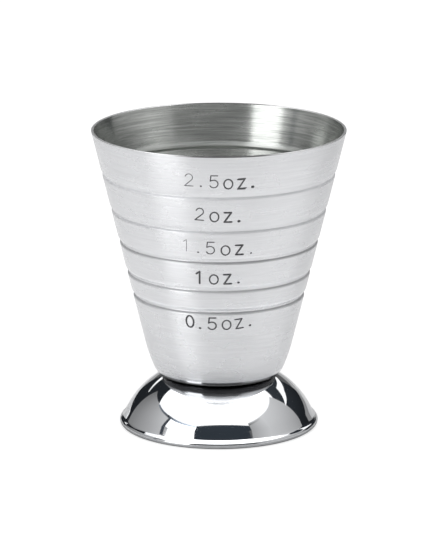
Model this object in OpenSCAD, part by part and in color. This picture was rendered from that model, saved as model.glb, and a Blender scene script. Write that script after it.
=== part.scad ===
// Footed measuring cup: a drawn conical bowl with five rolled measuring beads, spot-welded
// to a spun bell foot whose flange ends in a closed hem.
// The origin is the middle of the seat on the table and +Z runs up the axis.
// Both sheets are drawn as half sections and turned about the axis.

/* [Bowl] */
// Outer diameter over the rim
rim_d = 62; // [58:0.1:66]
// Height of the bowl from its flat underside to the top of the rim
bowl_h = 61.2; // [57:0.1:66]
// Diameter of the bowl's flat underside, and of the land that it is welded to
floor_d = 26.2; // [22:0.1:30]
// Thickness of the bowl's drawn sheet
bowl_wall = 0.6; // [0.5:0.05:0.9]
// Radius of the two edges of the rim, which is ground flat and level
rim_edge_r = 0.15; // [0.1:0.01:0.2]
// Outer radius of the tight bend round the underside
heel_r = 3; // [2:0.1:4]
// Radius of the long curve between the heel and the straight wall
belly_r = 40; // [30:0.5:50]
// Lean of the wall from the vertical where the heel meets the long curve, in degrees
heel_lean = 23.9; // [20:0.1:28]

/* [Measuring beads] */
// Height of the 2.5 ounce bead's crease above the bowl's underside
bead_2_5_oz_h = 50.6; // [49:0.1:52]
// Height of the 2 ounce bead's crease
bead_2_oz_h = 41.8; // [40:0.1:43]
// Height of the 1.5 ounce bead's crease
bead_1_5_oz_h = 33.8; // [32:0.1:35]
// Height of the 1 ounce bead's crease
bead_1_oz_h = 26.2; // [25.2:0.1:27.2]
// Height of the 0.5 ounce bead's crease
bead_0_5_oz_h = 20.5; // [19.5:0.1:21.5]
// Length along the wall over which it curves in above a crease
bead_run = 1.5; // [1:0.1:2]
// Length along the wall over which it comes back out below a crease
bead_return = 0.7; // [0.5:0.05:1]
// Depth of the top bead's crease
top_bead_depth = 0.3; // [0.15:0.05:0.5]
// Depth of the lowest bead's crease, the beads between deepen evenly
low_bead_depth = 0.5; // [0.2:0.05:0.6]

/* [Foot] */
// Outer diameter over the flange's rounded edge
foot_d = 48.8; // [45:0.1:55]
// Height of the foot from the table to the land under the bowl
foot_h = 12.7; // [11:0.1:16]
// Thickness of the foot's spun sheet, which the hem doubles
foot_wall = 0.9; // [0.7:0.05:1.1]
// Outer radius of the bend round the land
shoulder_r = 1.4; // [1.2:0.05:2.5]
// Angle of the straight skirt under the dome below the horizontal, in degrees
bell_steepness = 62; // [58:0.1:66]
// Length of the straight skirt, from the dome down to the flare
skirt_l = 1.8; // [0.5:0.1:2.5]
// Radius of the hollow curve that flares the skirt out into the flange
flare_r = 1.6; // [1:0.1:3]
// Angle of the flange below the horizontal where it meets the hem, in degrees
flange_slope = 32; // [26:0.5:40]
// Length of the sheet that is folded flat under the flange
hem_w = 1.4; // [1:0.1:1.8]

/* [Spot welds] */
// Number of weld nuggets between the bowl and the foot
weld_count = 3; // [2:1:6]
// Diameter of one nugget
weld_d = 3.2; // [2.4:0.1:4]
// Depth that a nugget reaches into each of the two sheets
weld_depth = 0.4; // [0.25:0.05:0.45]
// Diameter of the circle that the nuggets lie on
weld_circle_d = 14; // [12:0.5:16]

/* [Hidden] */
$fn = 96;
// Chords drawn for one arc, and for each side of a bead
arc_steps = 10;
bead_steps = 7;

// Bowl, in a half section whose zero height is the underside.
// The heel and the long curve touch inside one another, and the straight wall touches both
// the long curve and the rim's outer edge.
floor_r = floor_d / 2;
rim_c = [rim_d / 2 - rim_edge_r, bowl_h - rim_edge_r];
heel_c = [floor_r, heel_r];
belly_c = heel_c - (belly_r - heel_r) * unit(-heel_lean);
rim_from_belly = rim_c - belly_c;
wall_lean = acos((belly_r - rim_edge_r) / norm(rim_from_belly)) - heading(rim_from_belly);
wall_foot = belly_c + belly_r * unit(-wall_lean);
rim_top_w = (bowl_wall - 2 * rim_edge_r) / cos(wall_lean);
rim_inner_c = rim_c - [rim_top_w, 0];
bead_heights = [bead_2_5_oz_h, bead_2_oz_h, bead_1_5_oz_h, bead_1_oz_h, bead_0_5_oz_h];
last_bead = len(bead_heights) - 1;

// Foot, in a half section whose zero height is the table.
// The hem's edge, the hollow flare, the straight skirt, the domed bell and the shoulder
// touch one another, each tangent to the next.
flange_angle = 90 - flange_slope;
bell_angle = 90 - bell_steepness;
hem_r = foot_wall;
hem_c = [foot_d / 2 - hem_r, hem_r];
flare_c = hem_c + (hem_r + flare_r) * unit(flange_angle);
bell_end = flare_c - flare_r * unit(bell_angle) + skirt_l * unit(90 + bell_angle);
shoulder_c = [floor_r, foot_h - shoulder_r];
shoulder_gap = shoulder_c - (bell_end - shoulder_r * unit(bell_angle));
bell_r = shoulder_r - shoulder_gap * shoulder_gap / (2 * shoulder_gap * unit(bell_angle));
bell_c = bell_end - bell_r * unit(bell_angle);
shoulder_end = heading(shoulder_c - bell_c);
hem_end_x = hem_c[0] - hem_w;

// Each side of a nugget is a shallow dome, from its middle out to its edge between the sheets
nugget_r = (weld_d * weld_d / 4 + weld_depth * weld_depth) / (2 * weld_depth);
nugget_c = [0, nugget_r - weld_depth];
nugget_angle = asin(weld_d / 2 / nugget_r);

function unit(angle) = [cos(angle), sin(angle)];
function heading(v) = atan2(v[1], v[0]);
function reversed(points) = [for (i = [len(points) - 1 : -1 : 0]) points[i]];

// Points along an arc, without its first one
function arc(centre, radius, from, to) =
    [for (i = [1 : arc_steps]) centre + radius * unit(from + (to - from) * i / arc_steps)];

// Depth of a bead, counted from the top one
function bead_depth(i) = top_bead_depth + (low_bead_depth - top_bead_depth) * i / last_bead;

// Point of the straight wall at a height, moved a distance inwards through the sheet
function wall_point(height, inwards) =
    wall_foot + (height - wall_foot[1]) / cos(wall_lean) * unit(90 - wall_lean)
    - inwards * unit(-wall_lean);

// One bead from its lower shoulder to its upper one: a ledge up to the crease, then a long curve out
function bead(i, inwards) = concat(
    [for (j = [0 : bead_steps])
        wall_point(bead_heights[i] + (j / bead_steps - 1) * bead_return * cos(wall_lean),
                   inwards + bead_depth(i) * (1 - cos(90 * j / bead_steps)))],
    [for (j = [1 : bead_steps])
        wall_point(bead_heights[i] + j / bead_steps * bead_run * cos(wall_lean),
                   inwards + bead_depth(i) * (1 + cos(180 * j / bead_steps)) / 2)]);

// Line of the bowl's sheet from the axis up to the rim, a distance inside its outer face
function bowl_line(inwards) = concat(
    [[0, inwards], [floor_r, inwards]],
    arc(heel_c, heel_r - inwards, -90, -heel_lean),
    arc(belly_c, belly_r - inwards, -heel_lean, -wall_lean),
    [for (i = [last_bead : -1 : 0]) each bead(i, inwards)]);

// Line of the foot's sheet from the axis down to the flange, a distance inside its outer face
function foot_line(inwards) = concat(
    [[0, foot_h - inwards], [floor_r, foot_h - inwards]],
    arc(shoulder_c, shoulder_r - inwards, 90, shoulder_end),
    arc(bell_c, bell_r - inwards, shoulder_end, bell_angle),
    [flare_c - (flare_r + inwards) * unit(bell_angle)],
    arc(flare_c, -flare_r - inwards, bell_angle, flange_angle));

// Nuggets spread round the axis, centred on the face between the two sheets
module nuggets() {
    for (i = [0 : weld_count - 1])
        rotate([0, 0, 360 * i / weld_count])
            translate([weld_circle_d / 2, 0, foot_h])
                rotate_extrude()
                    polygon(concat([[0, -weld_depth]],
                                   arc(nugget_c, nugget_r, -90, nugget_angle - 90),
                                   arc(-nugget_c, nugget_r, 90 - nugget_angle, 90)));
}

// Drawn bowl: flat floor, heel, long curve, straight beaded wall and a flat rim with rounded edges
module measuring_bowl() {
    rim = concat([rim_c + rim_edge_r * unit(-wall_lean)],
                 arc(rim_c, rim_edge_r, -wall_lean, 90),
                 [rim_inner_c + rim_edge_r * unit(90)],
                 arc(rim_inner_c, rim_edge_r, 90, 180 - wall_lean));
    color([0.78, 0.79, 0.80])
        difference() {
            translate([0, 0, foot_h])
                rotate_extrude()
                    polygon(concat(bowl_line(0), rim, reversed(bowl_line(bowl_wall))));
            nuggets();
        }
}

// Spun foot: land, shoulder, domed bell and flare, with its edge folded under as the seat
module bell_foot() {
    hem = concat(arc(hem_c, hem_r, flange_angle, -90), [[hem_end_x, 0], [hem_end_x, foot_wall]]);
    color([0.90, 0.91, 0.92])
        difference() {
            rotate_extrude()
                polygon(concat(foot_line(0), hem, reversed(foot_line(foot_wall))));
            nuggets();
        }
}

// Weld nuggets, each held in both sheets
module spot_welds() {
    color([0.62, 0.62, 0.61]) nuggets();
}

measuring_bowl();
bell_foot();
spot_welds();
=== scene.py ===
"""Footed measuring cup on a white table in a light tent.

A conical steel bowl, satin brushed round its axis, with five rolled level beads and a hand punched scale, is
welded to a mirror polished bell foot.
"""
import logging
import math
from dataclasses import dataclass
from enum import Enum

import bpy
from bpy.types import Material, Mesh, Node, NodeSocket as Socket, Object
from mathutils import Matrix, Vector
from mathutils.bvhtree import BVHTree


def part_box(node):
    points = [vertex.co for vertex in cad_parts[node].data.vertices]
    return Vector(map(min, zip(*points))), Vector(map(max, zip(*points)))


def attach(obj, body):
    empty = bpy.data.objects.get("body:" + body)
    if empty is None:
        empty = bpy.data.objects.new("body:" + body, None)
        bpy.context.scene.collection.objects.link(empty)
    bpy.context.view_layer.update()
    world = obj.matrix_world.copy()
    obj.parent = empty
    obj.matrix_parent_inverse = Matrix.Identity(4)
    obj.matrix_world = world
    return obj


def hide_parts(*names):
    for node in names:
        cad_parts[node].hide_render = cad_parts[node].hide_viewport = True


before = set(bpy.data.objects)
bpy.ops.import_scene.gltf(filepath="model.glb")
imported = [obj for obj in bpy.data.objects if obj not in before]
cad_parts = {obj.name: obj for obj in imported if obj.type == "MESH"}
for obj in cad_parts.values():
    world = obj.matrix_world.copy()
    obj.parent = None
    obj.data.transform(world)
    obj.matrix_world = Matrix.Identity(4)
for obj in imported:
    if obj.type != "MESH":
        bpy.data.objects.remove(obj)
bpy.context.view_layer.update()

log = logging.getLogger("measuring_cup")
MM = 0.001
MERGE_GAP = 0.0005 * MM
SHARP_ANGLE = math.radians(35)

Span = tuple[float, float]
Tone = tuple[float, float, float]
# One value, or one at each end
Ends = Span | float
# What an input of a node takes
Signal = Socket | float


def unit(angle: float) -> Vector:
    """Unit vector at an angle in degrees, in the plane of a half section."""
    return Vector((math.cos(math.radians(angle)), math.sin(math.radians(angle))))


def heading(vector: Vector) -> float:
    """Angle of a plane vector, in degrees."""
    return math.degrees(math.atan2(vector.y, vector.x))


def mix(low: float, high: float, share: float) -> float:
    """Value that lies a share of the way from low to high."""
    return low + (high - low) * share


def pair(value: Ends) -> Span:
    """Value at the first end and at the last, where one may stand for both."""
    return value if isinstance(value, tuple) else (value, value)


def deselect() -> None:
    """Clears the selection, so that an operator meets only the new piece."""
    bpy.ops.object.select_all(action="DESELECT")


def select_only(piece: Object) -> None:
    """Makes a piece the only selected and the active one.

    Args:
        piece: The piece.
    """
    deselect()
    piece.select_set(True)
    bpy.context.view_layer.objects.active = piece


def join(pieces: list[Object]) -> Object:
    """Joins pieces.

    Args:
        pieces: The pieces.

    Returns:
        The first of them, which holds them all.
    """
    select_only(pieces[0])
    for piece in pieces:
        piece.select_set(True)
    bpy.ops.object.join()
    return pieces[0]


class HalfSection:
    """Line of points from the axis round a sheet, as (distance from the axis, height) in millimetres."""

    def __init__(self) -> None:
        """Starts an empty line."""
        self.points: list[Vector] = []

    def to(self, *points: Vector) -> "HalfSection":
        """Adds straight stretches to each of the points in turn."""
        self.points.extend(points)
        return self

    def arc(self, centre: Vector, radius: float, start: float, end: float, steps: int) -> "HalfSection":
        """Adds an arc.

        Args:
            centre: Centre of the arc.
            radius: Radius, negative for an arc that is seen from its hollow side.
            start: Angle of the first point in degrees, which is left out.
            end: Angle of the last point in degrees.
            steps: Number of chords.

        Returns:
            The line itself.
        """
        for step in range(1, steps + 1):
            self.points.append(centre + radius * unit(mix(start, end, step / steps)))
        return self

    def back(self, line: "HalfSection") -> None:
        """Adds another line's points in reverse, which closes the sheet."""
        self.points.extend(reversed(line.points))


def turn(name: str, section: HalfSection, steps: int) -> Object:
    """Draws a half section by extruding a vertex along it, and spins it into a closed body.

    Args:
        name: Name of the new piece.
        section: Closed outline that starts and ends on the axis.
        steps: Facets round the axis.

    Returns:
        The turned piece, with its origin at the world's.
    """
    deselect()
    bpy.ops.mesh.primitive_plane_add(size=MM)
    piece = bpy.context.object
    piece.name = piece.data.name = name
    bpy.ops.object.mode_set(mode="EDIT")
    bpy.ops.mesh.select_mode(type="VERT")
    bpy.ops.mesh.select_all(action="SELECT")
    bpy.ops.mesh.merge(type="CENTER")
    last = Vector((0, 0))
    for number, point in enumerate(section.points):
        move = (point - last) * MM
        if number == 0:
            bpy.ops.transform.translate(value=(move.x, 0, move.y))
        else:
            bpy.ops.mesh.extrude_region_move(TRANSFORM_OT_translate={"value": (move.x, 0, move.y)})
        last = point
    bpy.ops.mesh.select_all(action="SELECT")
    bpy.ops.mesh.spin(steps=steps, angle=math.tau, center=(0, 0, 0), axis=(0, 0, 1))
    bpy.ops.mesh.select_all(action="SELECT")
    bpy.ops.mesh.remove_doubles(threshold=MERGE_GAP)
    bpy.ops.mesh.normals_make_consistent(inside=False)
    bpy.ops.object.mode_set(mode="OBJECT")
    return piece


class Recipe:
    """Node tree of a material or of the world, with short calls that add and join nodes."""

    def __init__(self, name: str, world: bool = False) -> None:
        """Makes the material or the world with its shader.

        Args:
            name: Its name.
            world: Whether it is a world.
        """
        self.owner = (bpy.data.worlds if world else bpy.data.materials).new(name)
        self.owner.use_nodes = True
        self.tree = self.owner.node_tree
        self.shader = self.tree.nodes["Background" if world else "Principled BSDF"]

    def node(self, kind: str, *inputs: object, **settings: object) -> Socket:
        """Adds a node.

        Args:
            kind: Type of the node, without its ShaderNode prefix.
            inputs: Values or sockets for its inputs, in order; None leaves one as it is.
            settings: Properties of the node, and out for the name or number of the output.

        Returns:
            The asked output socket, or the first.
        """
        out = settings.pop("out", 0)
        made = self.tree.nodes.new("ShaderNode" + kind)
        for key, value in settings.items():
            setattr(made, key, value)
        for socket, value in zip(made.inputs, inputs):
            if value is not None:
                self.put(value, socket)
        return made.outputs[out]

    def put(self, value: object, socket: Socket) -> None:
        """Links an input to a value that is a socket, or else sets it.

        Args:
            value: The value.
            socket: The input.
        """
        if isinstance(value, Socket):
            self.tree.links.new(value, socket)
        else:
            socket.default_value = value

    def fill(self, filled: Node, **values: object) -> None:
        """Sets or links inputs of a node by their names, in small letters and with underscores for blanks."""
        for key, value in values.items():
            self.put(value, filled.inputs[key.replace("_", " ").title().replace("Ior", "IOR")])

    def place(self) -> Socket:
        """Place on the piece, whose origin is the middle of the seat."""
        return self.node("TexCoord", out="Object")

    def along(self, axis: str) -> Socket:
        """Coordinate of the place along one axis."""
        return self.node("SeparateXYZ", self.place(), out=axis)

    def flat(self) -> Socket:
        """Place without its height."""
        return self.node("VectorMath", self.place(), (1, 1, 0), operation="MULTIPLY")

    def reach(self) -> Socket:
        """Distance of the place from the axis."""
        return self.node("VectorMath", self.flat(), operation="LENGTH", out="Value")

    def noise(self, where: Socket, size: float = 1.0, detail: float = 4.0, rough: float = 0.6) -> Socket:
        """Adds noise.

        Args:
            where: Coordinates that it is laid out in.
            size: Size of its largest features in them.
            detail: Number of finer layers.
            rough: Strength of the finer layers.

        Returns:
            Socket with values between about 0 and 1.
        """
        made = self.node("TexNoise", where)
        self.fill(made.node, scale=1 / size, detail=detail, roughness=rough)
        return made

    def remap(self, value: Socket, before: Span, after: Span = (0, 1)) -> Socket:
        """Maps a range of a value to another one and clamps it there."""
        return self.node("MapRange", value, *before, *after)

    def times(self, one: Socket, other: Signal) -> Socket:
        """Product of two values."""
        return self.node("Math", one, other, operation="MULTIPLY")

    def between(self, share: Socket, low: Signal, high: Signal) -> Socket:
        """Value between low and high by a share."""
        return self.node("MapRange", share, 0.0, 1.0, low, high)

    def blend(self, share: Socket, low: Tone, high: Tone) -> Socket:
        """Colour between low and high by a share."""
        return self.node("MixRGB", share, (*low, 1.0), (*high, 1.0))

    def turned(self, spread: float, pitch: float, lean: float) -> Socket:
        """Coordinates that run with the lines that a lathe leaves.

        Args:
            spread: Radius of the circle that one turn round the axis becomes; smaller for longer lines.
            pitch: Distance along the half section that becomes one unit, in metres.
            lean: Share of the distance from the axis that is added to the height.

        Returns:
            Vector socket whose third value grows along the half section.
        """
        ring = self.node("VectorMath", self.flat(), operation="NORMALIZE")
        wide = self.node("VectorMath", ring, (spread, spread, spread), operation="MULTIPLY")
        along = self.node("Math", self.reach(), lean, self.along("Z"), operation="MULTIPLY_ADD")
        lift = self.node("CombineXYZ", 0.0, 0.0, self.times(along, 1 / pitch))
        return self.node("VectorMath", wide, lift, operation="ADD")


@dataclass(frozen=True)
class Crevice:
    """Tight gap round the weld, with painted shade on the steel near it, rougher where the buffing wheel
    never reaches, in metres.

    It is a ring round the axis. Its side is 1 for faces that look up and -1 for faces that look down.
    """

    radius: float
    height: float
    side: float
    full: float
    clear: float
    tone: Tone = (0.05, 0.05, 0.053)
    rough: float = 0.25
    facing: Span = (0.05, 0.15)

    def painted_shade(self, recipe: Recipe, colour: Socket, rough: Socket) -> tuple[Socket, Socket]:
        """Paints shade into a finish near the gap, and dulls it.

        Args:
            recipe: Node tree of the finish.
            colour: Its colour without the painted shade.
            rough: Its roughness away from the gap.

        Returns:
            The colour with the painted shade, and the roughness.
        """
        spot = recipe.node("CombineXYZ", recipe.reach(), 0.0, recipe.along("Z"))
        ring = (self.radius, 0, self.height)
        gap = recipe.node("VectorMath", spot, ring, operation="DISTANCE", out="Value")
        up = recipe.node("SeparateXYZ", recipe.node("NewGeometry", out="Normal"), out="Z")
        facing = recipe.remap(recipe.times(up, self.side), self.facing)
        share = recipe.times(recipe.remap(gap, (self.full, self.clear), (1, 0)), facing)
        # Painted shade: the colour turns near black towards the gap
        dark = recipe.node("MixRGB", share, colour, (*self.tone, 1.0))
        return dark, recipe.between(share, rough, self.rough)


@dataclass(frozen=True)
class BeadFinish:
    """Finish along one bead, whose crease lies at a height in metres.

    The crease and the run over it are so many times as light as the plain wall: painted shade along the
    crease, painted light on the run.
    """

    height: float
    crease: float
    run: float = 1.0


@dataclass(frozen=True)
class BrushedSteel:
    """Stainless steel brushed round the axis: long fine lines that blur reflections up and down only.

    Heights are in metres over the table. The lines and the broader bands of the brush have a spread each, as
    the turned coordinates take it. The lip carries painted shade along a stretch of its front and of its
    back.
    """

    name: str
    lip_base: float
    dark: Tone = (0.63, 0.635, 0.65)
    light: Tone = (0.71, 0.715, 0.73)
    smooth: float = 0.25
    rough: float = 0.31
    anisotropy: float = 0.8
    blur_turn: float = 0.25
    line_pitch: float = 0.6 * MM
    line_spread: float = 2.2
    line_depth: float = 0.0005 * MM
    line_core: Span = (0.3, 0.7)
    band_lines: float = 6.0
    band_spread: float = 1.1
    cloud_size: float = 9 * MM
    wear: Span = (0.12, 0.4)
    beads: tuple[BeadFinish, ...] = ()
    crease_rise: float = 0.12 * MM
    crease_flat: float = 0.2 * MM
    crease_fall: float = 0.6 * MM
    crease_rough: float = 0.8
    run_start: float = 0.5 * MM
    run_stop: float = 1.0 * MM
    run_end: float = 1.5 * MM
    heel_top: float = 0.0
    heel_fade: float = 0.5 * MM
    heel_rough: float = 0.06
    lip_edge: float = 0.01 * MM
    # Lip colour elsewhere, and the painted shade in the middle of the stretch
    lip_rest: Tone = (0.60, 0.605, 0.61)
    lip_shade: Tone = (0.09, 0.09, 0.092)
    lip_rough: float = 0.4
    lip_middle: float = 2.0 * MM
    lip_full: float = 8.0 * MM
    lip_fade: float = 14.0 * MM
    crevice: Crevice | None = None

    def material(self) -> Material:
        """Builds the node material.

        Returns:
            The material.
        """
        recipe = Recipe(self.name)
        band_pitch = self.band_lines * self.line_pitch
        lines = recipe.noise(recipe.turned(self.line_spread, self.line_pitch, lean=1.0), rough=0.7)
        bands = recipe.noise(recipe.turned(self.band_spread, band_pitch, lean=1.0), detail=3.0)
        cloud = recipe.noise(recipe.place(), self.cloud_size, detail=2.0, rough=0.5)
        height = recipe.along("Z")
        heel = recipe.remap(height, (self.heel_top + self.heel_fade, self.heel_top))
        lip = recipe.remap(height, (self.lip_base, self.lip_base + self.lip_edge))
        matt, gain = self.along_beads(recipe)
        polish = recipe.node("Math", heel, lip, operation="MAXIMUM")
        steel = recipe.blend(recipe.remap(lines, self.line_core), self.dark, self.light)
        # Colour times the painted shade of the creases and the painted light of the runs
        colour = recipe.node("VectorMath", steel, None, None, gain, operation="SCALE")
        # The lip's colour, with painted shade along the middle stretch
        colour = recipe.node("MixRGB", lip, colour, self.lip_tone(recipe))
        rough = recipe.remap(recipe.times(bands, cloud), self.wear, (self.smooth, self.rough))
        rough = recipe.between(matt, rough, self.crease_rough)
        rough = recipe.between(heel, rough, self.heel_rough)
        rough = recipe.between(lip, rough, self.lip_rough)
        # Painted shade on the steel next to the weld
        if self.crevice:
            colour, rough = self.crevice.painted_shade(recipe, colour, rough)
        recipe.fill(
            recipe.shader,
            metallic=1.0,
            base_color=colour,
            roughness=rough,
            anisotropic=recipe.between(recipe.node("Math", matt, polish), self.anisotropy, 0.0),
            anisotropic_rotation=self.blur_turn,
            tangent=recipe.node("Tangent", direction_type="RADIAL", axis="Z"),
            normal=self.relief(recipe, lines, polish),
        )
        return recipe.owner

    def along_beads(self, recipe: Recipe) -> tuple[Signal, Signal]:
        """Finds where the beads change the satin.

        Args:
            recipe: Node tree of the finish.

        Returns:
            How matt a place is, full along the creases, and its colour gain: painted shade along the creases,
            painted light on the runs.
        """
        height = recipe.along("Z")
        matt: Signal = 0.0
        gain: Signal = 1.0
        for bead in self.beads:
            level = bead.height
            over = recipe.remap(height, (level + self.crease_rise, level))
            under = recipe.remap(height, (level - self.crease_fall, level - self.crease_flat))
            crease = recipe.times(over, under)
            matt = recipe.node("Math", crease, matt)
            gain = recipe.node("Math", crease, bead.crease - 1, gain, operation="MULTIPLY_ADD")
            start = recipe.remap(height, (level + self.crease_rise, level + self.run_start))
            end = recipe.remap(height, (level + self.run_end, level + self.run_stop), (0, bead.run - 1))
            gain = recipe.node("Math", start, end, gain, operation="MULTIPLY_ADD")
        return matt, gain

    def lip_tone(self, recipe: Recipe) -> Socket:
        """Finds the colour of the lip, with painted shade along its middle stretch.

        Args:
            recipe: Node tree of the finish.

        Returns:
            Colour socket.
        """
        off = recipe.node("Math", recipe.along("X"), self.lip_middle, operation="SUBTRACT")
        off = recipe.node("Math", off, operation="ABSOLUTE")
        share = recipe.remap(off, (self.lip_full, self.lip_fade), (1, 0))
        return recipe.blend(share, self.lip_rest, self.lip_shade)

    def relief(self, recipe: Recipe, lines: Socket, polish: Socket) -> Socket:
        """Adds the brush lines' shallow relief.

        Args:
            recipe: Node tree of the finish.
            lines: Height of the lines, from 0 to 1.
            polish: How much they are polished away, from 0 to 1.

        Returns:
            Normal socket.
        """
        bump = recipe.node("Bump")
        strength = recipe.between(polish, 1.0, 0.0)
        recipe.fill(bump.node, distance=self.line_depth, strength=strength, height=lines)
        return bump


@dataclass(frozen=True)
class MirrorSteel:
    """Stainless steel polished to a mirror, with a trace of haze and of hairlines round the axis."""

    name: str
    crevice: Crevice
    dark: Tone = (0.61, 0.62, 0.64)
    light: Tone = (0.65, 0.66, 0.675)
    clear: float = 0.03
    hazy: float = 0.07
    haze_size: float = 5 * MM
    hair_pitch: float = 0.3 * MM
    hair_spread: float = 3.0
    wear: Span = (0.15, 0.4)

    def material(self) -> Material:
        """Builds the node material.

        Returns:
            The material.
        """
        recipe = Recipe(self.name)
        haze = recipe.noise(recipe.place(), self.haze_size)
        turned = recipe.turned(self.hair_spread, self.hair_pitch, lean=-1.0)
        hair = recipe.noise(turned, detail=5.0, rough=0.7)
        colour = recipe.blend(haze, self.dark, self.light)
        rough = recipe.remap(recipe.times(haze, hair), self.wear, (self.clear, self.hazy))
        # Painted shade on the foot next to the weld
        colour, rough = self.crevice.painted_shade(recipe, colour, rough)
        recipe.fill(recipe.shader, metallic=1.0, base_color=colour, roughness=rough)
        return recipe.owner


@dataclass(frozen=True)
class GrainyMetal:
    """Rough metal, whose two tones and whose roughness follow one noise."""

    name: str
    metal: float
    dark: Tone
    light: Tone
    smooth: float
    rough: float
    grain: float
    detail: float
    core: Span
    wear: Span = (0.3, 0.7)

    def material(self) -> Material:
        """Builds the node material.

        Returns:
            The material.
        """
        recipe = Recipe(self.name)
        grain = recipe.noise(recipe.place(), self.grain, self.detail)
        recipe.fill(
            recipe.shader,
            metallic=self.metal,
            base_color=recipe.blend(recipe.remap(grain, self.core), self.dark, self.light),
            roughness=recipe.remap(grain, self.wear, (self.smooth, self.rough)),
        )
        return recipe.owner


@dataclass(frozen=True)
class PunchedSteel(GrainyMetal):
    """Floor of the punched marks: matt and dark."""

    name: str = "punched_steel"
    metal: float = 0.8
    dark: Tone = (0.06, 0.06, 0.065)
    light: Tone = (0.15, 0.15, 0.155)
    smooth: float = 0.38
    rough: float = 0.55
    grain: float = 0.4 * MM
    detail: float = 3.0
    core: Span = (0.35, 0.65)


@dataclass(frozen=True)
class WeldMetal(GrainyMetal):
    """Cast metal of a weld nugget, with a faint heat tint."""

    name: str = "weld_metal"
    metal: float = 1.0
    dark: Tone = (0.50, 0.50, 0.50)
    light: Tone = (0.52, 0.46, 0.36)
    smooth: float = 0.4
    rough: float = 0.6
    grain: float = 0.6 * MM
    detail: float = 4.0
    core: Span = (0.4, 0.7)


@dataclass
class Cone:
    """Straight stretch of the bowl's wall, where the scale is punched."""

    start: Vector
    lean: float

    def radius(self, height: float) -> float:
        """Distance of the outer face from the axis at a height over the table."""
        return self.start.x + (height - self.start.y) * math.tan(math.radians(self.lean))

    def front(self, across: float, height: float, lift: float) -> Vector:
        """Point over the front of the wall.

        Args:
            across: Distance to the right of the middle, in millimetres.
            height: Height over the table, in millimetres.
            lift: Distance out of the face, in millimetres.

        Returns:
            The point in metres.
        """
        reach = self.radius(height) + lift / math.cos(math.radians(self.lean))
        return Vector((across, -math.sqrt(reach * reach - across * across), height)) * MM


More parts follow.
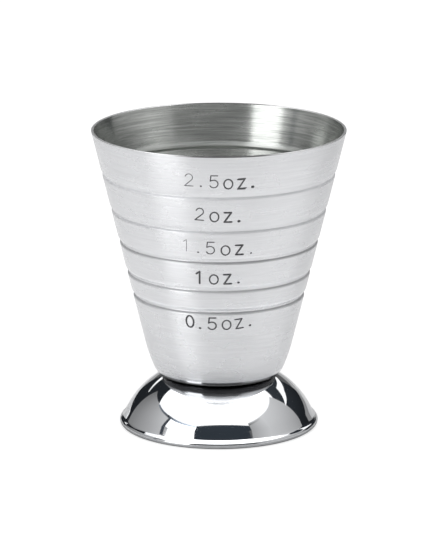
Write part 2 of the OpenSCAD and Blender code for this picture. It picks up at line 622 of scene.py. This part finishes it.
@dataclass
class MeasuringBowl:
    """Drawn conical bowl with a flat rim, five rolled level beads and a small heel, in millimetres."""

    base_h: float
    rim_d: float = 62.0
    bowl_h: float = 61.2
    floor_d: float = 26.2
    wall: float = 0.6
    rim_edge_r: float = 0.15
    heel_r: float = 3.0
    belly_r: float = 40.0
    heel_lean: float = 23.9
    bead_heights: tuple[float, ...] = (50.6, 41.8, 33.8, 26.2, 20.5)
    bead_run: float = 1.5
    bead_return: float = 0.7
    top_bead_depth: float = 0.3
    low_bead_depth: float = 0.5
    inner_swell: float = 0.6
    # Colour gains: painted shade along each crease, painted light on each run, painted shade along the inner
    # ridges
    crease_shade_gains: tuple[float, ...] = (1.02, 0.94, 0.62, 0.73, 0.66)
    run_light_gains: tuple[float, ...] = (1.0, 1.0, 1.08, 1.2, 1.35)
    inner_shade_gain: float = 0.856
    lip_drop: float = 0.1
    # Distances from the gap where the painted shade on the bowl is full and where it ends
    painted_shade: Span = (2.3, 3.0)
    facets: int = 192
    arc_steps: int = 14
    edge_steps: int = 6
    bead_steps: int = 7

    def __post_init__(self) -> None:
        """Works out the tangent arcs, as heights over the bowl's underside."""
        self.rim_c = Vector((self.rim_d / 2 - self.rim_edge_r, self.bowl_h - self.rim_edge_r))
        self.heel_c = Vector((self.floor_d / 2, self.heel_r))
        self.belly_c = self.heel_c - (self.belly_r - self.heel_r) * unit(-self.heel_lean)
        reach = self.rim_c - self.belly_c
        self.lean = math.degrees(math.acos((self.belly_r - self.rim_edge_r) / reach.length)) - heading(reach)
        self.slant = math.cos(math.radians(self.lean))
        self.wall_foot = self.belly_c + self.belly_r * unit(-self.lean)
        top_w = (self.wall - 2 * self.rim_edge_r) / self.slant
        self.rim_inner_c = self.rim_c - Vector((top_w, 0))

    def cone(self) -> Cone:
        """Outer face of the straight wall, with heights over the table."""
        return Cone(self.wall_foot + Vector((0, self.base_h)), self.lean)

    def wall_point(self, height: float, inwards: float) -> Vector:
        """Point of the straight wall at a height, moved a distance in through the sheet."""
        up = (height - self.wall_foot.y) / self.slant
        return self.wall_foot + up * unit(90 - self.lean) - inwards * unit(-self.lean)

    def line(self, inwards: float) -> HalfSection:
        """Line of the sheet from the axis up to the rim.

        Args:
            inwards: Distance of the line inside the outer face.

        Returns:
            The line, with the beads in it.
        """
        section = HalfSection().to(Vector((0, inwards)), Vector((self.floor_d / 2, inwards)))
        section.arc(self.heel_c, self.heel_r - inwards, -90, -self.heel_lean, self.arc_steps)
        section.arc(self.belly_c, self.belly_r - inwards, -self.heel_lean, -self.lean, self.arc_steps)
        last = len(self.bead_heights) - 1
        for number, height in reversed(list(enumerate(self.bead_heights))):
            depth = mix(self.top_bead_depth, self.low_bead_depth, number / last)
            depth *= self.inner_swell if inwards else 1
            for step in range(-self.bead_steps, self.bead_steps + 1):
                share = step / self.bead_steps
                reach = self.bead_return if step < 0 else self.bead_run
                level = height + share * reach * self.slant
                ledge = 1 - math.sin(-share * math.pi / 2)
                swell = (1 + math.cos(math.pi * share)) / 2
                section.to(self.wall_point(level, inwards + depth * (ledge if step < 0 else swell)))
        return section

    def shell(self) -> Object:
        """Turns the plain bowl, without its scale.

        Returns:
            The piece.
        """
        section = self.line(0).to(self.rim_c + self.rim_edge_r * unit(-self.lean))
        section.arc(self.rim_c, self.rim_edge_r, -self.lean, 90, self.edge_steps)
        section.to(self.rim_inner_c + self.rim_edge_r * unit(90))
        section.arc(self.rim_inner_c, self.rim_edge_r, 90, 180 - self.lean, self.edge_steps)
        section.back(self.line(self.wall))
        lift = Vector((0, self.base_h))
        section.points = [point + lift for point in section.points]
        return turn("bowl", section, self.facets)

    def finishes(self) -> tuple[Material, Material]:
        """Makes the finishes of the sheet.

        Returns:
            The finish of its outside and that of its inside.
        """
        levels = [(self.base_h + height) * MM for height in self.bead_heights]
        beads = tuple(BeadFinish(*values) for values in zip(levels, self.crease_shade_gains, self.run_light_gains))
        ridges = tuple(BeadFinish(level, self.inner_shade_gain) for level in levels)
        heel_top = (self.base_h + self.heel_r * (1 - math.sin(math.radians(self.heel_lean)))) * MM
        lip_base = (self.base_h + self.bowl_h - self.rim_edge_r) * MM
        # The outside gets painted shade next to the weld
        outside = BrushedSteel("brushed_outside", lip_base - self.lip_drop * MM, beads=beads,
                               heel_top=heel_top, crevice=self.crevice(-1, *self.painted_shade))
        # The inside is a darker copy of the steel: painted shade inside the bowl, with stronger brush streaks
        inside = BrushedSteel("brushed_inside", lip_base, dark=(0.29, 0.305, 0.29),
                              light=(0.61, 0.62, 0.605), smooth=0.235, rough=0.285, line_pitch=0.5 * MM,
                              beads=ridges, crease_rise=1.5 * MM, crease_flat=0.3 * MM, crease_rough=0.4)
        return outside.material(), inside.material()

    def crevice(self, side: float, full: float, clear: float) -> Crevice:
        """Gap round the weld, as the sheet on one side meets it; its painted shade ends between two
        distances.
        """
        return Crevice(self.floor_d / 2 * MM, self.base_h * MM, side, full * MM, clear * MM)

    def line_inside(self, bowl: Object) -> None:
        """Gives the faces that look at the axis or up the second finish.

        Args:
            bowl: The plain bowl.
        """
        for face in bowl.data.polygons:
            inward = face.normal.x * face.center.x + face.normal.y * face.center.y < 0
            face.material_index = int(inward or face.normal.z > self.slant)

    def build(self, scale: "PunchedScale", punched: Material) -> Object:
        """Builds the finished bowl.

        Args:
            scale: Marks that are punched into the wall.
            punched: Finish inside the marks.

        Returns:
            The bowl, which stands for its CAD node.
        """
        bowl = self.shell()
        for finish in self.finishes():
            bowl.data.materials.append(finish)
        self.line_inside(bowl)
        bpy.ops.object.shade_smooth()
        nearest = BVHTree.FromObject(bowl, bpy.context.evaluated_depsgraph_get())
        plain = bowl.data.copy()
        scale.punch(bowl, self.cone(), punched)
        carry_normals(bowl, plain, nearest)
        bpy.data.meshes.remove(plain)
        return bowl


def carry_normals(cut: Object, plain: Mesh, nearest: BVHTree) -> None:
    """Gives the sheet round the punched marks the even shading that it had before.

    Args:
        cut: Bowl with its marks, whose last material is the marks'.
        plain: Mesh of the bowl before the marks.
        nearest: Search tree of that mesh.
    """
    select_only(cut)
    bpy.ops.object.shade_smooth_by_angle(angle=SHARP_ANGLE)
    mesh = cut.data
    marks = len(mesh.materials) - 1
    normals = [corner.vector.copy() for corner in mesh.corner_normals]
    for face in mesh.polygons:
        if face.material_index == marks:
            continue
        for loop in face.loop_indices:
            place = mesh.vertices[mesh.loops[loop].vertex_index].co
            hit = nearest.find_nearest(place)[2]
            total = Vector((0, 0, 0))
            for corner in plain.polygons[hit].vertices:
                vertex = plain.vertices[corner]
                total += vertex.normal * (1 / max((vertex.co - place).length, MERGE_GAP))
            normals[loop] = total.normalized()
    mesh.normals_split_custom_set(normals)


class Press(Enum):
    """How hard a punch was struck: its stroke's width and depth in millimetres."""

    GHOST = (0.16, 0.03)
    FAINT = (0.21, 0.05)
    LIGHT = (0.30, 0.09)
    EVEN = (0.39, 0.13)
    HARD = (0.49, 0.18)


@dataclass(frozen=True)
class Strike:
    """One struck mark: its glyph, its middle across, its foot's height, its press and its tilt in degrees."""

    glyph: str
    across: float
    base: float
    press: Press = Press.EVEN
    tilt: float = 0.0


@dataclass
class PunchedScale:
    """Plain scale of fluid ounces beside the beads, struck with single-stroke punches, in millimetres."""

    digit_h: float = 3.15
    digit_w: float = 2.05
    small_h: float = 2.5
    small_w: float = 2.08
    dot_width: float = 1.5
    dot_depth: float = 1.4
    arc_steps: int = 14
    round_steps: int = 3

    def strikes(self) -> list[Strike]:
        """Lists all the marks, row by row from the top.

        Returns:
            The marks.
        """
        ghost, faint, light, even, hard = Press
        marks = (
            ("2", -7.1, 66.3, faint), (".", -4.25, 66.2, light), ("5", -1.15, 66.0, light),
            ("o", 2.25, 65.7), ("z", 5.3, 65.6), ("z", 5.6, 65.8, light, 3), (".", 8.05, 65.85, hard),
            ("2", -4.65, 57.6, light, -3), ("o", -1.05, 57.25), ("z", 2.15, 57.15, hard),
            (".", 4.8, 57.15, hard),
            ("1", -7.95, 49.25, ghost), (".", -4.95, 49.05, light), ("5", -2.0, 48.85, light),
            ("o", 1.6, 48.55), ("z", 4.88, 48.6, hard), (".", 7.7, 48.65, light),
            ("1", -4.8, 41.05, hard), ("o", -1.2, 40.95), ("z", 2.1, 41.0, hard, 2), (".", 4.72, 41.1),
            ("0", -6.8, 29.2, hard, 6), (".", -4.55, 29.0), ("5", -1.6, 28.9),
            ("o", 1.87, 28.9), ("z", 5.0, 29.1, even, 6), (".", 7.55, 29.5),
        )
        return [Strike(*mark) for mark in marks]

    def bow(self, centre: Span, across: float, up: float, start: float, end: float) -> list[Vector]:
        """Points of an elliptic bow.

        Args:
            centre: Its centre.
            across: Half of its width.
            up: Half of its height.
            start: First angle in degrees.
            end: Last angle in degrees.

        Returns:
            The points in order.
        """
        angles = [mix(start, end, step / self.arc_steps) for step in range(self.arc_steps + 1)]
        return [Vector(centre) + Vector((across * unit(angle).x, up * unit(angle).y)) for angle in angles]

    def strokes(self, glyph: str) -> list[list[Vector]]:
        """Strokes of a glyph, each a line of points from its middle foot, in millimetres.

        Args:
            glyph: A digit, a small letter or a dot.

        Returns:
            The strokes.
        """
        h, w = self.digit_h, self.digit_w / 2
        s, v = self.small_h, self.small_w / 2
        loop = h * 0.29
        belly = h * 0.32
        shapes = {
            "0": [self.bow((0, h / 2), w * 0.87, h / 2, 90, 450)],
            "1": [[(-w * 0.55, h * 0.82), (0.2 * w, h)], [(0.2 * w, h), (0.2 * w, 0)]],
            "2": [self.bow((0, h - loop), w * 0.86, loop, 165, -38) + [(-w, 0)], [(-w, 0), (w, 0)]],
            "5": [[(w * 0.85, h), (-w * 0.7, h)], [(-w * 0.7, h), (-w * 0.85, h * 0.55)],
                  [(-w * 0.85, h * 0.55)] + self.bow((-w * 0.05, belly), w * 0.98, belly, 118, -152)],
            "o": [self.bow((0, s / 2), v, s / 2, 90, 450)],
            "z": [[(-v * 0.8, s), (v * 0.8, s)], [(v * 0.8, s), (-v * 0.8, 0)],
                  [(-v * 0.8, 0), (v * 0.85, 0)]],
            ".": [[(-0.06, 0.12), (0.06, 0.12)]],
        }
        return [[Vector(point) for point in stroke] for stroke in shapes[glyph]]

    def cutter(self, strike: Strike, cone: Cone) -> Object:
        """Makes the round bar that presses one glyph into the wall.

        Args:
            strike: The mark.
            cone: Wall that it goes into.

        Returns:
            A mesh object.
        """
        width, depth = strike.press.value
        if strike.glyph == ".":
            width, depth = width * self.dot_width, depth * self.dot_depth
        bar_r = (width * width / 4 + depth * depth) / (2 * depth)
        spin = Matrix.Rotation(math.radians(strike.tilt), 2)
        lean = math.cos(math.radians(cone.lean))
        curve = bpy.data.curves.new("punch", "CURVE")
        curve.dimensions = "3D"
        curve.bevel_depth = bar_r * MM
        curve.bevel_resolution = self.round_steps
        curve.use_fill_caps = True
        for stroke in self.strokes(strike.glyph):
            closed = (stroke[0] - stroke[-1]).length < MERGE_GAP / MM
            points = [(point, 1.0) for point in stroke[:-1]] if closed else self.rounded(stroke, width)
            spline = curve.splines.new("POLY")
            spline.points.add(len(points) - 1)
            spline.use_cyclic_u = closed
            for slot, (point, share) in zip(spline.points, points):
                turned = spin @ point
                place = cone.front(strike.across + turned.x, strike.base + turned.y * lean, bar_r - depth)
                slot.co = (*place, 1.0)
                slot.radius = share
        bar = bpy.data.objects.new("punch", curve)
        bpy.context.scene.collection.objects.link(bar)
        select_only(bar)
        bpy.ops.object.convert(target="MESH")
        return bpy.context.object

    def rounded(self, stroke: list[Vector], width: float) -> list[tuple[Vector, float]]:
        """Adds a tapering tip to each end of an open stroke.

        Args:
            stroke: Points of the stroke.
            width: Width of the stroke, which is about as long as both tips together.

        Returns:
            Points with the share of the full radius at each.
        """
        tips = ((0.5, 0.05), (0.42, 0.55), (0.25, 0.87))
        start = (stroke[0] - stroke[1]).normalized() * width
        end = (stroke[-1] - stroke[-2]).normalized() * width
        head = [(stroke[0] + start * out, share) for out, share in tips]
        tail = [(stroke[-1] + end * out, share) for out, share in reversed(tips)]
        return head + [(point, 1.0) for point in stroke] + tail

    def punch(self, bowl: Object, cone: Cone, finish: Material) -> None:
        """Presses all the marks into the bowl.

        Args:
            bowl: Piece that is marked.
            cone: Its straight wall.
            finish: Material inside the marks.
        """
        bars = [self.cutter(strike, cone) for strike in self.strikes()]
        for bar in bars:
            bar.data.materials.append(finish)
        tool = join(bars)
        select_only(bowl)
        cut = bowl.modifiers.new("punched scale", "BOOLEAN")
        cut.operation = "DIFFERENCE"
        cut.solver = "EXACT"
        cut.use_self = True
        cut.material_mode = "TRANSFER"
        cut.object = tool
        bpy.ops.object.modifier_apply(modifier=cut.name)
        bpy.data.objects.remove(tool)


@dataclass
class BellFoot:
    """Spun bell foot: a flat land, a shoulder, a dome, a straight skirt, a flare and a closed hem."""

    floor_d: float
    foot_d: float = 48.8
    foot_h: float = 12.7
    wall: float = 0.9
    shoulder_r: float = 1.4
    bell_steepness: float = 62.0
    skirt_l: float = 1.8
    flare_r: float = 1.6
    flange_slope: float = 32.0
    hem_w: float = 1.4
    edge_r: float = 0.25
    # Distances from the gap where the painted shade on the foot is full and where it ends
    painted_shade: Span = (0.6, 1.3)
    facets: int = 256
    arc_steps: int = 14
    dome_steps: int = 40
    hem_steps: int = 28
    edge_steps: int = 5

    def __post_init__(self) -> None:
        """Works out the tangent arcs, as heights over the table."""
        self.flange_angle = 90 - self.flange_slope
        self.bell_angle = 90 - self.bell_steepness
        self.hem_c = Vector((self.foot_d / 2 - self.wall, self.wall))
        self.flare_c = self.hem_c + (self.wall + self.flare_r) * unit(self.flange_angle)
        self.skirt_end = self.flare_c - self.flare_r * unit(self.bell_angle)
        bell_end = self.skirt_end + self.skirt_l * unit(90 + self.bell_angle)
        self.shoulder_c = Vector((self.floor_d / 2, self.foot_h - self.shoulder_r))
        gap = self.shoulder_c - (bell_end - self.shoulder_r * unit(self.bell_angle))
        self.bell_r = self.shoulder_r - gap.length_squared / (2 * gap.dot(unit(self.bell_angle)))
        self.bell_c = bell_end - self.bell_r * unit(self.bell_angle)
        self.shoulder_end = heading(self.shoulder_c - self.bell_c)

    def line(self, inwards: float) -> HalfSection:
        """Line of the sheet from the axis down to the flange.

        Args:
            inwards: Distance of the line inside the outer face.

        Returns:
            The line.
        """
        top = self.foot_h - inwards
        section = HalfSection().to(Vector((0, top)), Vector((self.floor_d / 2, top)))
        bell, flange = self.bell_angle, self.flange_angle
        section.arc(self.shoulder_c, self.shoulder_r - inwards, 90, self.shoulder_end, self.arc_steps)
        section.arc(self.bell_c, self.bell_r - inwards, self.shoulder_end, bell, self.dome_steps)
        section.to(self.skirt_end - inwards * unit(bell))
        section.arc(self.flare_c, -self.flare_r - inwards, bell, flange, self.arc_steps)
        return section

    def build(self, mirror: Material) -> Object:
        """Turns the foot.

        Args:
            mirror: Its finish.

        Returns:
            The foot, which stands for its CAD node.
        """
        fold = Vector((self.hem_c.x - self.hem_w, 0))
        low = fold + Vector((self.edge_r, self.edge_r))
        high = Vector((fold.x + self.edge_r, self.wall - self.edge_r))
        section = self.line(0).arc(self.hem_c, self.wall, self.flange_angle, -90, self.hem_steps)
        section.to(Vector((fold.x + self.edge_r, 0))).arc(low, self.edge_r, -90, -180, self.edge_steps)
        section.to(Vector((fold.x, self.wall - self.edge_r))).arc(high, self.edge_r, 180, 90, self.edge_steps)
        section.back(self.line(self.wall))
        foot = turn("foot", section, self.facets)
        foot.data.materials.append(mirror)
        bpy.ops.object.shade_smooth_by_angle(angle=SHARP_ANGLE)
        return foot


@dataclass
class WeldNuggets:
    """Weld nuggets between the bowl's underside and the foot's land, in millimetres."""

    face_h: float
    count: int = 3
    nugget_d: float = 3.2
    depth: float = 0.4
    circle_d: float = 14.0
    facets: int = 48
    dome_steps: int = 8

    def build(self, metal: Material) -> Object:
        """Turns one nugget and spreads its copies round the axis.

        Args:
            metal: Its finish.

        Returns:
            The nuggets, which stand for their CAD node.
        """
        dome_r = (self.nugget_d ** 2 / 4 + self.depth ** 2) / (2 * self.depth)
        dome_c = Vector((0, dome_r - self.depth))
        edge = math.degrees(math.asin(self.nugget_d / 2 / dome_r))
        section = HalfSection().to(Vector((0, -self.depth)))
        section.arc(dome_c, dome_r, -90, edge - 90, self.dome_steps)
        section.arc(-dome_c, dome_r, 90 - edge, 90, self.dome_steps)
        nuggets = [turn("nuggets", section, self.facets)]
        nuggets[0].data.materials.append(metal)
        bpy.ops.object.shade_smooth_by_angle(angle=SHARP_ANGLE)
        nuggets[0].location = Vector((self.circle_d / 2, 0, self.face_h)) * MM
        bpy.ops.object.transform_apply(location=True, rotation=False, scale=False)
        for number in range(1, self.count):
            select_only(nuggets[0])
            bpy.ops.object.duplicate()
            bpy.context.object.rotation_euler.z = math.tau * number / self.count
            bpy.ops.object.transform_apply(location=False, rotation=True, scale=False)
            nuggets.append(bpy.context.object)
        return join(nuggets)


@dataclass(frozen=True)
class Card:
    """Board or cloth round the table, which the steel mirrors.

    Its angles are in degrees: azimuths from the front to the right, elevations from the table up. Where a
    pair is given, it holds the value at the first azimuth and the one at the last.
    """

    name: str
    azimuths: Span
    bottom: Ends
    top: Ends
    low_glow: Ends
    high_glow: Ends
    distance: float = 1.35
    tint: Tone = (1.0, 1.0, 1.0)
    arch: float = 0.0
    columns: int = 24
    rows: int = 16

    def place(self, across: float, up: float) -> Vector:
        """Finds a point of the card.

        Args:
            across: Share of its width.
            up: Share of its height.

        Returns:
            The point in metres.
        """
        rise = self.arch * (1 - (2 * across - 1) ** 2)
        elevation = unit(mix(mix(*pair(self.bottom), across), mix(*pair(self.top), across) + rise, up))
        azimuth = unit(mix(*self.azimuths, across))
        return Vector((azimuth.y * elevation.x, -azimuth.x * elevation.x, elevation.y)) * self.distance

    def build(self) -> None:
        """Bends a grid round the table and gives it its glow."""
        deselect()
        bpy.ops.mesh.primitive_grid_add(x_subdivisions=self.columns, y_subdivisions=self.rows, size=2)
        card = bpy.context.object
        card.name = self.name
        for vertex in card.data.vertices:
            vertex.co = self.place((vertex.co.x + 1) / 2, (vertex.co.y + 1) / 2)
        recipe = Recipe(self.name)
        split = recipe.node("SeparateXYZ", recipe.node("TexCoord", out="UV")).node.outputs
        low, high = (recipe.between(split["X"], *pair(glow)) for glow in (self.low_glow, self.high_glow))
        recipe.fill(
            recipe.shader,
            base_color=(0, 0, 0, 1),
            specular_ior_level=0.0,
            emission_color=(*self.tint, 1),
            emission_strength=recipe.between(split["Y"], low, high),
        )
        recipe.owner.cycles.emission_sampling = "NONE"
        card.data.materials.append(recipe.owner)
        card.visible_camera = card.visible_diffuse = card.visible_shadow = False


@dataclass
class LightTent:
    """White table, overhead lamp, cards and white surroundings.

    The table has a painted shadow under the cup, and a little painted shade at the back on the right. The
    camera sees it plain.
    """

    table_r: float = 4.0
    table_sides: int = 96
    table_rough: float = 0.3
    # Painted shadow round the foot, and painted shade at the back on the right
    shadow_tones: Span = (0.45, 0.95)
    contact_shadow: Span = (25 * MM, 30 * MM)
    shade_right: Span = (10 * MM, 60 * MM)
    shade_back: Span = (-10 * MM, 40 * MM)
    shade_share: float = 0.88
    seen_tone: Tone = (0.34, 0.34, 0.34)
    seen_glow: float = 0.72
    lamp_h: float = 1.2
    lamp_r: float = 1.0
    lamp_glow: float = 1.9
    scrim_glow: float = 1.7
    fill_glow: float = 0.4

    def cards(self) -> list[Card]:
        """Lists the cards as the foot mirrors them.

        Returns:
            The back ones, then the others from the left round the front to the right.
        """
        far, near, nearer = 1.35, 1.3, 1.25
        navy, slate = (0.78, 0.97, 1.20), (0.85, 0.98, 1.15)
        rows = (
            ("back_paper", (155, 200), -1, 8, 0.5, 0.5),
            ("back_cloth", (155, 200), 8, 62, 0.15, 0.10),
            ("left_back_cloth", (-161, -113), (0, 3), (52, 37.5), 0.02, 0.03, far, slate),
            ("left_fold", (-137.5, -114), -1, (31.5, 37.5), (0.32, 0.40), (0.22, 0.52), near),
            ("left_slit", (-160, -143.5), (18.3, 19.3), (23.5, 20.7), (1.7, 1.2), (1.7, 1.2), 1.28),
            ("left_grey", (-114, -80.3), -1, (37.5, 39.5), (0.40, 0.45), (0.52, 0.88), near),
            ("left_gap", (-80.3, -75.8), -1, 40.5, 0.12, 0.08, near, slate),
            ("left_rail", (-112, -84), (36.8, 39.0), (38.2, 41.4), (0.30, 0.10), (0.30, 0.10), nearer, slate),
            ("left_shelf", (-84, -34), (38.7, 42.2), (41.6, 43.8), (0.02, 1.4), (0.02, 1.4), nearer, slate),
            ("left_low", (-75.8, -64), -1, 30, 0.6, 0.6),
            ("left_board", (-64, -33.5), -1, 30, 2.9, 2.9),
            ("left_top", (-75.8, -33.5), 30, (35, 37), 2.3, 1.9),
            ("left_glare", (-75.8, -33.5), (35, 37), (41, 43), 1.9, 4.5),
            ("front_cloth", (-33.5, 45.5), 36, (44.2, 42.0), 0.055, 0.065, far, navy, 6.0),
            ("front_low", (-33.5, 45.5), -1, 36, 0.20, 0.20),
            ("right_near", (45.5, 72), -1, (45.5, 46.5), (0.48, 0.68), (0.55, 0.95)),
            ("right_far", (72, 119.5), -1, 46.5, (0.62, 0.32), (0.95, 0.82)),
            ("right_rail", (45, 68), (42.2, 44.0), (43.8, 45.0), (0.20, 0.80), (0.20, 0.80), nearer),
            ("right_back_cloth", (119.5, 156), 5.5, (42.8, 55), 0.02, 0.06, far, slate),
            ("right_wedge", (118.5, 141), (29.5, 26), (30.2, 33.5), 1.6, 1.6, near),
            ("right_tip", (141, 159), (26, 18), (33.5, 20), 1.6, 1.6, near),
            ("right_back_low", (119.5, 156), -1, 5.5, 0.35, 0.35),
        )
        return [Card(*row) for row in rows]

    def table(self) -> None:
        """Lays the white table under the cup."""
        deselect()
        bpy.ops.mesh.primitive_circle_add(vertices=self.table_sides, radius=self.table_r, fill_type="NGON")
        top = bpy.context.object
        top.name = "table"
        recipe = Recipe("table_white")
        seen = recipe.node("LightPath", out="Is Camera Ray")
        # Painted shade at the back on the right, and painted shadow round the foot, for all but camera rays
        right = recipe.remap(recipe.along("X"), self.shade_right)
        back = recipe.remap(recipe.along("Y"), self.shade_back)
        back_right_shade = recipe.between(recipe.times(right, back), 1.0, self.shade_share)
        white = recipe.times(recipe.remap(recipe.reach(), self.contact_shadow, self.shadow_tones), back_right_shade)
        recipe.fill(
            recipe.shader,
            base_color=recipe.node("MixRGB", seen, white, (*self.seen_tone, 1)),
            roughness=self.table_rough,
            specular_ior_level=recipe.between(seen, 1.0, 0.0),
            emission_color=(1, 1, 1, 1),
            emission_strength=recipe.times(seen, self.seen_glow),
        )
        recipe.owner.cycles.emission_sampling = "NONE"
        top.data.materials.append(recipe.owner)

    def lamp(self) -> None:
        """Hangs the round soft lamp over the table, with the power that gives its face its glow."""
        data = bpy.data.lights.new("overhead", "AREA")
        data.shape = "DISK"
        data.size = 2 * self.lamp_r
        data.energy = self.lamp_glow * math.pi * math.pi * self.lamp_r ** 2
        lamp = bpy.data.objects.new("overhead", data)
        lamp.location = (0, 0, self.lamp_h)
        bpy.context.scene.collection.objects.link(lamp)

    def surroundings(self) -> None:
        """Sets the white world: full where it is seen, lower as light on the object."""
        recipe = Recipe("tent", world=True)
        strength: Signal = self.fill_glow
        for ray, glow in (("Is Camera Ray", 1.0), ("Is Glossy Ray", self.scrim_glow)):
            seen = recipe.node("LightPath", out=ray)
            strength = recipe.node("Math", seen, glow - self.fill_glow, strength, operation="MULTIPLY_ADD")
        recipe.fill(recipe.shader, color=(1, 1, 1, 1), strength=strength)
        bpy.context.scene.world = recipe.owner

    def build(self) -> None:
        """Sets up the whole tent."""
        self.surroundings()
        self.table()
        self.lamp()
        for card in self.cards():
            card.build()


@dataclass
class Viewpoint:
    """Camera at the photograph's place: in front of the cup and looking down on it a little."""

    aside: float = 0.40 * MM
    away: float = 926.7 * MM
    up: float = 275.7 * MM
    pitch: float = 14.441
    lens: float = 254.9
    sensor: float = 36.0
    near: float = 10 * MM

    def build(self) -> None:
        """Makes the camera and hands it to the scene."""
        data = bpy.data.cameras.new("camera")
        data.sensor_width = self.sensor
        data.lens = self.lens
        data.clip_start = self.near
        camera = bpy.data.objects.new("camera", data)
        camera.location = (self.aside, -self.away, self.up)
        camera.rotation_euler = (math.radians(90 - self.pitch), 0, 0)
        bpy.context.scene.collection.objects.link(camera)
        bpy.context.scene.camera = camera


def settle(piece: Object, node: str) -> None:
    """Hands a finished piece to the frame in its CAD node's place.

    Args:
        piece: The piece.
        node: CAD node that it stands for.
    """
    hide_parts(node)
    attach(piece, "root")
    log.info("%s: %d faces", piece.name, len(piece.data.polygons))


def main() -> None:
    """Builds the cup and its surroundings in order."""
    logging.basicConfig(level=logging.INFO, format="%(name)s: %(message)s")
    bpy.context.scene.view_settings.view_transform = "Standard"
    Viewpoint().build()
    LightTent().build()
    base_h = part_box("measuring_bowl")[0].z / MM
    bowl = MeasuringBowl(base_h=base_h)
    marked = bowl.build(PunchedScale(), PunchedSteel().material())
    settle(marked, "measuring_bowl")
    foot = BellFoot(floor_d=bowl.floor_d, foot_h=base_h)
    mirror = MirrorSteel("mirror_steel", crevice=bowl.crevice(1, *foot.painted_shade))
    settle(foot.build(mirror.material()), "bell_foot")
    settle(WeldNuggets(face_h=base_h).build(WeldMetal().material()), "spot_welds")


if __name__ == "__main__":
    main()
